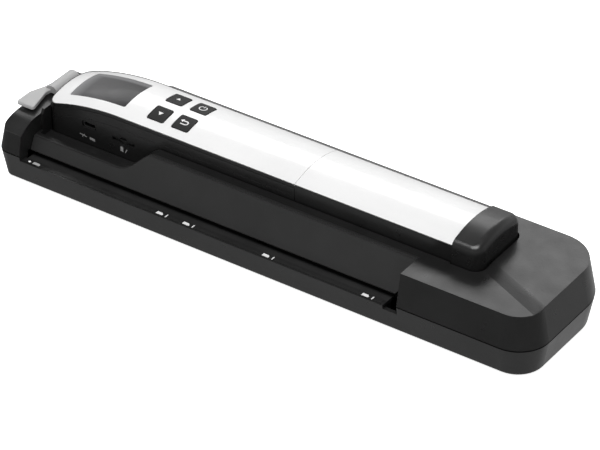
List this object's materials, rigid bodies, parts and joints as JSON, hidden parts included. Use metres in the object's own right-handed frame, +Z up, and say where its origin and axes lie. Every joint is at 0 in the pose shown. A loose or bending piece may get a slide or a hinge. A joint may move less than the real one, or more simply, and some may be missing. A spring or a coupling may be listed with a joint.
{
  "type": "sheet fed document scanner",
  "caption": "Hand-held wand scanner seated in a powered sheet-feeding dock, with a front paper entry, size ledge, screen, keys and release lever.",
  "frame": {"origin": "middle of the footprint, on the surface that the feet stand on", "axes": "+X along the length towards the wand's end cap, +Y from the paper entry to the paper exit, +Z up"},
  "size_m": [0.314, 0.077, 0.0495],
  "materials": {
    "dock_charcoal": "fine-textured matte charcoal ABS",
    "entry_panel": "matte charcoal ABS, smoother than the dock",
    "scale_black": "black inlay with pale printed marks",
    "light_pipe": "clear white light pipe",
    "inner_black": "plain black moulding",
    "wand_black": "semi-gloss black",
    "wand_white": "high-gloss white",
    "lever_grey": "light grey acetal",
    "screen_glass": "dark grey display window",
    "display": "display module",
    "keys": "satin black keys with white symbols",
    "rubber": "black rubber",
    "silicone": "grey silicone",
    "steel": "bright steel",
    "zinc_plate": "zinc-plated sheet steel",
    "bronze": "sintered bronze",
    "acetal": "natural acetal",
    "board_green": "green solder mask",
    "socket_metal": "plated socket shell",
    "cell_wrap": "shrink-wrapped cell",
    "glass_clear": "scan window glass"
  },
  "bodies": {
    "dock": {"dock_bottom_shell": "dock_charcoal", "dock_top_shell": "dock_charcoal", "front_guide_panel": "entry_panel", "size_scale_strip": "scale_black", "status_light_pipe": "light_pipe", "rubber_feet": "rubber", "dock_screws": "steel", "paper_platen": "inner_black", "shaft_bracket_left": "zinc_plate", "shaft_bracket_right": "zinc_plate", "roller_bushings": "bronze", "idler_pin": "steel", "gear_plate": "zinc_plate", "feed_motor": "zinc_plate", "dock_circuit_board": "board_green", "power_jack": "inner_black", "dock_contact_block": "inner_black", "flag_post": "inner_black", "lever_hinge_pin": "steel", "lever_spring": "steel"},
    "wand": {"wand_lower_case": "wand_black", "wand_side_frame": "wand_black", "cover_gasket": "wand_black", "wand_top_cover": "wand_white", "end_cap": "wand_black", "lcd_window": "screen_glass", "lcd_module": "display", "keypad_membrane": "silicone", "wand_circuit_board": "board_green", "mini_usb_port": "socket_metal", "card_socket": "socket_metal", "sensor_bar": "inner_black", "scan_glass": "glass_clear", "wand_screws": "steel"},
    "battery_pack": {"battery_pack_case": "wand_black", "battery_pack_cover": "wand_white", "battery_cell": "cell_wrap"},
    "release_lever": {"release_lever": "lever_grey"},
    "button_up": {"button_up": "keys"},
    "button_down": {"button_down": "keys"},
    "button_ok": {"button_ok": "keys"},
    "button_back": {"button_back": "keys"},
    "memory_card": {"memory_card": "inner_black"},
    "feed_roller": {"feed_roller_shaft": "steel", "feed_roller_tyres": "rubber", "feed_gear": "acetal"},
    "exit_roller": {"exit_roller_shaft": "steel", "exit_roller_tyres": "rubber", "exit_gear": "acetal"},
    "idler_gear": {"idler_gear": "acetal"},
    "motor_pinion": {"motor_pinion": "bronze", "motor_shaft": "steel"},
    "wand_front_roller": {"wand_front_roller_shaft": "steel", "wand_front_roller_tyres": "rubber"},
    "wand_rear_roller": {"wand_rear_roller_shaft": "steel", "wand_rear_roller_tyres": "rubber"},
    "sensor_flag": {"paper_sensor_flag": "inner_black"}
  },
  "joints": [
    {"name": "wand_lift", "type": "slide", "parent": "dock", "child": "wand", "axis": [0, 0, 1], "range_m": [0, 0.06]},
    {"name": "battery_lift", "type": "slide", "parent": "wand", "child": "battery_pack", "axis": [0, 0, 1], "range_m": [0, 0.03]},
    {"name": "lever_press", "type": "hinge", "parent": "dock", "child": "release_lever", "pos_m": [-0.148, 0.0085, 0.0313], "axis": [0, 1, 0], "range_deg": [-7, 0], "stiffness_Nm_per_rad": 0.02, "springref_deg": 2.86},
    {"name": "button_up_press", "type": "slide", "parent": "wand", "child": "button_up", "axis": [0, 0, -1], "range_m": [0, 0.0008], "stiffness_N_per_m": 200, "springref_m": -0.0005},
    {"name": "button_down_press", "type": "slide", "parent": "wand", "child": "button_down", "axis": [0, 0, -1], "range_m": [0, 0.0008], "stiffness_N_per_m": 200, "springref_m": -0.0005},
    {"name": "button_ok_press", "type": "slide", "parent": "wand", "child": "button_ok", "axis": [0, 0, -1], "range_m": [0, 0.0008], "stiffness_N_per_m": 200, "springref_m": -0.0005},
    {"name": "button_back_press", "type": "slide", "parent": "wand", "child": "button_back", "axis": [0, 0, -1], "range_m": [0, 0.0008], "stiffness_N_per_m": 200, "springref_m": -0.0005},
    {"name": "card_slide", "type": "slide", "parent": "wand", "child": "memory_card", "axis": [0, -1, 0], "range_m": [-0.0005, 0.0125]},
    {"name": "feed_roller_turn", "type": "hinge", "parent": "dock", "child": "feed_roller", "pos_m": [0, -0.0078, 0.0106], "axis": [1, 0, 0], "continuous": true},
    {"name": "exit_roller_turn", "type": "hinge", "parent": "dock", "child": "exit_roller", "pos_m": [0, 0.0172, 0.0106], "axis": [1, 0, 0], "continuous": true},
    {"name": "idler_gear_turn", "type": "hinge", "parent": "dock", "child": "idler_gear", "pos_m": [0.12, 0.0047, 0.0106], "axis": [1, 0, 0], "continuous": true},
    {"name": "motor_pinion_turn", "type": "hinge", "parent": "dock", "child": "motor_pinion", "pos_m": [0.12, -0.01105, 0.01953], "axis": [1, 0, 0], "continuous": true},
    {"name": "wand_front_roller_turn", "type": "hinge", "parent": "wand", "child": "wand_front_roller", "pos_m": [0, -0.0078, 0.0199], "axis": [1, 0, 0], "continuous": true},
    {"name": "wand_rear_roller_turn", "type": "hinge", "parent": "wand", "child": "wand_rear_roller", "pos_m": [0, 0.0172, 0.0199], "axis": [1, 0, 0], "continuous": true},
    {"name": "sensor_flag_tip", "type": "hinge", "parent": "dock", "child": "sensor_flag", "pos_m": [-0.002, -0.0242, 0.0102], "axis": [-1, 0, 0], "range_deg": [0, 20], "stiffness_Nm_per_rad": 0.0002, "springref_deg": -11.46}
  ],
  "couplings": [
    {"joint": "exit_roller_turn", "follows": "feed_roller_turn", "ratio": 1},
    {"joint": "idler_gear_turn", "follows": "feed_roller_turn", "ratio": -1.0833},
    {"joint": "motor_pinion_turn", "follows": "feed_roller_turn", "ratio": -2.1667}
  ]
}
